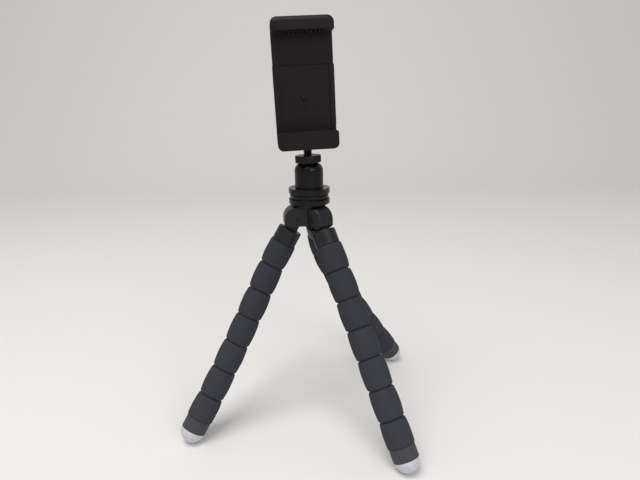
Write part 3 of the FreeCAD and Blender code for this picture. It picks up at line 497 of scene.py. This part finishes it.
def head_place():
    """Frame at the ball's centre, z up the stem and x across the clamp."""
    side, stem = joint_axis("ball_tilt"), joint_axis("nut_turn")
    turn = Matrix((side, stem.cross(side), stem)).transposed()
    return Matrix.Translation(joint_point("ball_tilt")) @ turn.to_4x4()


def threaded_stud():
    """Ball and stem in one, with a helical thread above the nut."""
    ball, stem = joint_point("ball_tilt"), joint_axis("nut_turn")
    radius, top = span_along("ball_stud", ball, stem)
    radius = -radius
    nut_low = span_along("knurled_nut", ball, stem)[0]
    crest = max(((corner - ball).cross(stem)).length for corner in node_points("ball_stud")
                if (corner - ball).dot(stem) > nut_low + CREST_ABOVE)
    root = crest - THREAD_DEPTH
    join = math.acos(root / radius)
    ball_line = [(radius * math.cos(angle), radius * math.sin(angle))
                 for angle in (join + (-math.pi / 2 - join) * step / BALL_STEPS
                               for step in range(BALL_STEPS + 1))]
    ball_line[-1] = (0, -radius)
    mesh = turned([(0, top), (root - THREAD_TIP, top), (root, top - THREAD_TIP)] + ball_line, STUD_STEPS)
    turns = math.floor((top - nut_low) / THREAD_PITCH) - 1
    low = nut_low + 0.5 * THREAD_PITCH
    sunk, foot = root - THREAD_SINK, root + THREAD_FOOT
    section = [(sunk, 0), *zip((sunk, foot, crest, crest, foot), FLANK_SHARES)]
    ridge = bmesh.new()
    corners = [ridge.verts.new((r, 0, low + share * THREAD_PITCH)) for r, share in section]
    start = ridge.faces.new(corners)
    bmesh.ops.spin(ridge, geom=[start], cent=(0, 0, 0), axis=UP, angle=math.tau * turns,
                   steps=THREAD_STEPS * turns, dvec=(0, 0, THREAD_PITCH / THREAD_STEPS))
    bmesh.ops.holes_fill(ridge, edges=ridge.edges)
    bmesh.ops.recalc_face_normals(ridge, faces=ridge.faces)
    joined = bpy.data.meshes.new("ridge")
    ridge.to_mesh(joined)
    ridge.free()
    mesh.from_mesh(joined)
    bpy.data.meshes.remove(joined)
    mesh.transform(head_place())
    piece = new_piece("threaded_stud", mesh, "black_metal")
    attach(piece, "ball")
    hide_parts("ball_stud")


def knurled_nut():
    """Round nut with a knurled edge between two plain chamfers, hollow below."""
    ball, stem = joint_point("ball_tilt"), joint_axis("nut_turn")
    low, high = span_along("knurled_nut", ball, stem)
    radius = reach_from("knurled_nut", ball, stem)
    bore = min(((corner - ball).cross(stem)).length for corner in node_points("knurled_nut"))
    hollow = max((corner - ball).length for corner in node_points("ball_housing")
                 if (corner - ball).dot(UP) > HOUSING_SIDE) + NUT_CLEARANCE
    grip = radius - KNURL_DEPTH
    rim = math.sqrt(hollow ** 2 - low ** 2)
    arc = []
    for step in range(HOLLOW_STEPS + 1):
        out = rim + (bore - rim) * step / HOLLOW_STEPS
        arc.append((out, math.sqrt(hollow ** 2 - out ** 2)))
    line = [(bore, high), (grip, high), (radius, high - NUT_EDGE), (radius, low + NUT_EDGE), (grip, low)]
    mesh = turned(line + arc, 2 * KNURLS)
    for vertex in mesh.verts:
        out = math.hypot(vertex.co.x, vertex.co.y)
        if out > radius - KNURL_NEAR:
            number = round(math.atan2(vertex.co.y, vertex.co.x) / math.tau * 2 * KNURLS)
            if number % 2:
                vertex.co.xy *= grip / out
    mesh.transform(head_place())
    piece = new_piece("nut_with_knurl", mesh, "black_metal")
    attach(piece, "nut")
    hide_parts("knurled_nut")


# ---- foam legs: one piece of foam over each notch, shaped over its bend ------------------------------
BEND_REACH = 6 * MM           # how far from a notch its bend is spread
FULLNESS = 0.35 * MM          # of the soft foam, over its plain solid
CROWN = 0.9 * MM              # how much thinner a bead is beside its notches than in its middle
NOTCH_CUT = 1.35 * MM
NOTCH_WIDTH = 0.65 * MM
NOTCH_POWER = 1.5             # power that shapes the notch's sides
END_ROUND = 0.9 * MM          # rounding of the foam's edge beside the collar and the sleeve
END_DROOP = 0.35              # share of CROWN that a bead is thinner by beside the collar or sleeve
WIRE_GAP = 0.1 * MM           # between the foam's bore and the wire
DENTS = 0.1 * MM
DENT_SIZE = 7 * MM
FOAM_STEPS = 64               # round the leg
FOAM_ROWS = 26                # along the leg, from a notch to the end of its foam
ROW_CROWDING = 1.6            # power that draws the rows towards the notch
END_ROWS = (0.05, 0.15, 0.3, 0.5, 0.75, 1.0)  # rows over the rounded edge, as shares of END_ROUND
WIRE_STEPS = 16
WIRE_ROWS = 14
WIRE_IN_COLLAR = 6 * MM       # how far the wire runs past the foam's upper end
WIRE_IN_SLEEVE = 5.5 * MM     # and past its lower end
BENDS = range(1, 7)           # numbers of a leg's notches, from the hub down


class Leg:
    """Centre line of one leg, read from its joints and nodes."""

    def __init__(self, name):
        self.name = name
        self.notches = [joint_point("%s_bend_%d" % (name, k)) for k in BENDS]
        self.hinge = joint_point(name + "_splay")
        sleeve = box_middle(name + "_foot_sleeve")
        stops = [self.hinge] + self.notches + [sleeve]
        self.ways = [(b - a).normalized() for a, b in zip(stops, stops[1:])]
        self.collar_end = span_along(name + "_collar", self.hinge, self.ways[0])[1]
        self.foam_end = span_along(name + "_foot_sleeve", self.notches[-1], self.ways[-1])[0]
        self.radius = reach_from(name + "_foam_2", self.notches[0], self.ways[1]) + FULLNESS
        in_collar = [corner - self.hinge for corner in node_points(name + "_core_wire")
                     if (corner - self.hinge).dot(self.ways[0]) < self.collar_end]
        self.wire_radius = max(corner.cross(self.ways[0]).length for corner in in_collar)
        self.sides = [joint_axis(name + "_splay")]
        for before, after in zip(self.ways, self.ways[1:]):
            self.sides.append(before.rotation_difference(after) @ self.sides[-1])
        self.bead_lengths = [(self.notches[0] - self.hinge).length - self.collar_end]
        self.bead_lengths += [(b - a).length for a, b in zip(self.notches, self.notches[1:])]
        self.bead_lengths.append(self.foam_end)

    def body(self, number):
        """Name of the body that one bead rides on, counted from the collar."""
        return "%s_leg_%d" % (self.name, number)

    def ends(self, k):
        """How far the foam over notch k reaches up and down from it."""
        up = self.bead_lengths[k - 1] / (1 if k == BENDS[0] else 2)
        down = self.bead_lengths[k] / (1 if k == BENDS[-1] else 2)
        return up, down

    def carry(self, mesh, k, dented=False):
        """Bend a straight mesh, notch at its origin, on to the leg's line over notch k."""
        before, after = self.ways[k - 1], self.ways[k]
        side = self.sides[k - 1]
        notch = self.notches[k - 1]
        for vertex in mesh.verts:
            x, y, z = vertex.co
            share = min(max((z + BEND_REACH) / (2 * BEND_REACH), 0.0), 1.0)
            way = before.lerp(after, share).normalized()
            low, high = notch - before * BEND_REACH, notch + after * BEND_REACH
            if z <= -BEND_REACH:
                centre = notch + before * z
            elif z >= BEND_REACH:
                centre = notch + after * z
            else:
                centre = low.lerp(notch, share).lerp(notch.lerp(high, share), share)
            across = before.rotation_difference(way) @ side
            out = across * x + way.cross(across) * y
            if dented:
                out *= 1 + DENTS / self.radius * noise.noise((centre + out) / DENT_SIZE)
            vertex.co = centre + out


def bead_radius(leg, k, z):
    """Outer radius of the foam at a distance from notch k along the leg."""
    number, from_notch = (k - 1, -z) if z < 0 else (k, z)
    length = leg.bead_lengths[number]
    single = number in (0, BENDS[-1])
    place = min(from_notch / length, 1.0)
    bulge = 4 * place * (1 - place)
    rounding = 0.0
    if single and place > 0.5:
        bulge = 1.0 - END_DROOP * (2 * place - 1) ** 2
        near_end = max(1 - (length - from_notch) / END_ROUND, 0.0)
        rounding = END_ROUND * (1 - math.sqrt(1 - min(near_end, 1.0) ** 2))
    cut = NOTCH_CUT * math.exp(-abs(z / NOTCH_WIDTH) ** NOTCH_POWER)
    return leg.radius - CROWN * (1 - bulge) - cut - rounding


def foam_over_notch(leg, k):
    """Foam from the middle of one bead to the middle of the next, bored for the wire."""
    up, down = leg.ends(k)
    bore = leg.wire_radius + WIRE_GAP
    heights = set()
    for side, reach in ((-1, up), (1, down)):
        spread = [(step / FOAM_ROWS) ** ROW_CROWDING for step in range(FOAM_ROWS + 1)]
        heights.update(side * reach * share for share in spread)
        if reach in (leg.bead_lengths[0], leg.bead_lengths[-1]):
            heights.update(side * (reach - END_ROUND * share) for share in END_ROWS)
    heights = sorted(heights)
    outer = [(bead_radius(leg, k, z), z) for z in heights]
    inner = [(bore, z) for z in (down, BEND_REACH / 2, 0.0, -BEND_REACH / 2, -up)]
    mesh = turned(outer + inner, FOAM_STEPS)
    leg.carry(mesh, k, dented=True)
    piece = new_piece("%s_foam_over_notch_%d" % (leg.name, k), mesh, "foam")
    finish_leg_piece(piece, leg, k)
    numbers = [k, k + 1] if k == BENDS[0] else [k + 1]
    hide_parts(*["%s_foam_%d" % (leg.name, number) for number in numbers])


def finish_leg_piece(piece, leg, k):
    """Bake a piece's placement into its mesh; the ends of the bend over notch k and the bodies on either side of
    it are worked out but not used.
    """
    notch = leg.notches[k - 1]
    start = notch - leg.ways[k - 1] * BEND_REACH
    end = notch + leg.ways[k] * BEND_REACH
    leg.body(k)
    leg.body(k + 1)
    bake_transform(piece)


def wire_over_notch(leg, k):
    """Core wire from the middle of one bead to the middle of the next."""
    up, down = leg.ends(k)
    if k == BENDS[0]:
        up += WIRE_IN_COLLAR
    if k == BENDS[-1]:
        down += WIRE_IN_SLEEVE
    radius = leg.wire_radius
    side = [(radius, -up + (up + down) * step / WIRE_ROWS) for step in range(WIRE_ROWS + 1)]
    mesh = turned([(0, -up)] + side + [(0, down)], WIRE_STEPS)
    leg.carry(mesh, k)
    piece = new_piece("%s_wire_over_notch_%d" % (leg.name, k), mesh, "wire")
    finish_leg_piece(piece, leg, k)
    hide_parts(leg.name + "_core_wire")


# ---- stage and light ----------------------------------------------------------------------------------
def stage_finish():
    """Plain pale paper of the floor and backdrop."""
    finish = Finish("pale_paper", (226, 224, 222), 0.8, specular=0.2)
    return finish.material


def make_stage():
    """Pale floor that curves up into a backdrop."""
    mesh = bmesh.new()
    half, front, back, rise, bend = 3.0, -2.0, 1.6, 2.4, 0.6
    line = [(front, 0.0), (back - bend, 0.0)]
    for degrees in range(9, 91, 9):
        angle = math.radians(degrees)
        line.append((back - bend + bend * math.sin(angle), bend - bend * math.cos(angle)))
    line.append((back, rise))
    corners = [mesh.verts.new((-half, y, z)) for y, z in line]
    edges = [mesh.edges.new(pair) for pair in zip(corners, corners[1:])]
    bmesh.ops.extrude_edge_only(mesh, edges=edges)
    mesh.verts.ensure_lookup_table()
    bmesh.ops.translate(mesh, vec=(2 * half, 0, 0), verts=mesh.verts[len(corners):])
    bmesh.ops.recalc_face_normals(mesh, faces=mesh.faces)
    data = bpy.data.meshes.new("floor")
    mesh.to_mesh(data)
    mesh.free()
    for face in data.polygons:
        face.use_smooth = True
    floor = bpy.data.objects.new("floor", data)
    data.materials.append(stage_finish())
    bpy.context.scene.collection.objects.link(floor)


def area_lamp(name, place, aim, size, power, color=(1, 1, 1)):
    """Soft square lamp that points at a spot."""
    data = bpy.data.lights.new(name, "AREA")
    data.shape = "SQUARE"
    data.size = size
    data.energy = power
    data.color = color
    lamp = bpy.data.objects.new(name, data)
    lamp.location = place
    lamp.rotation_euler = (Vector(aim) - Vector(place)).to_track_quat("-Z", "Y").to_euler()
    bpy.context.scene.collection.objects.link(lamp)


def light_scene():
    """Even pale surroundings with soft lamps overhead."""
    world = bpy.data.worlds.new("surroundings")
    world.use_nodes = True
    background = world.node_tree.nodes["Background"]
    background.inputs["Color"].default_value = (1.0, 1.0, 1.0, 1.0)
    background.inputs["Strength"].default_value = 0.55
    bpy.context.scene.world = world
    middle = (0.0, 0.0, 0.15)
    area_lamp("ceiling_lamp", (-0.35, -0.35, 1.5), middle, 0.9, 14.0)
    area_lamp("front_lamp", (0.7, -1.3, 0.9), middle, 0.8, 6.0)
    bpy.context.scene.view_settings.view_transform = "Standard"


# ---- everything ---------------------------------------------------------------------------------------
MOULD_EDGE = 0.2 * MM         # rounding of the clamp's frame and jaw
COVER_EDGE = 0.4 * MM
LOWER_PAD_EDGE = 0.25 * MM
UPPER_PAD_EDGE = 0.2 * MM

place_camera()
finish_cad_nodes()
threaded_stud()
knurled_nut()
softened_copy("clamp_body", "clamp_frame", "clamp_black", MOULD_EDGE, "clamp")
softened_copy("back_cover", "clamp_back", "clamp_black", COVER_EDGE, "clamp")
softened_copy("lower_pad", "lower_ribbed_pad", "pad_rubber", LOWER_PAD_EDGE, "clamp")
softened_copy("sliding_jaw", "upper_jaw", "clamp_black", MOULD_EDGE, "slider")
softened_copy("upper_pad", "upper_ribbed_pad", "pad_rubber", UPPER_PAD_EDGE, "slider")
for leg in [Leg(name) for name in LEGS]:
    for k in BENDS:
        foam_over_notch(leg, k)
        wire_over_notch(leg, k)
make_stage()
light_scene()
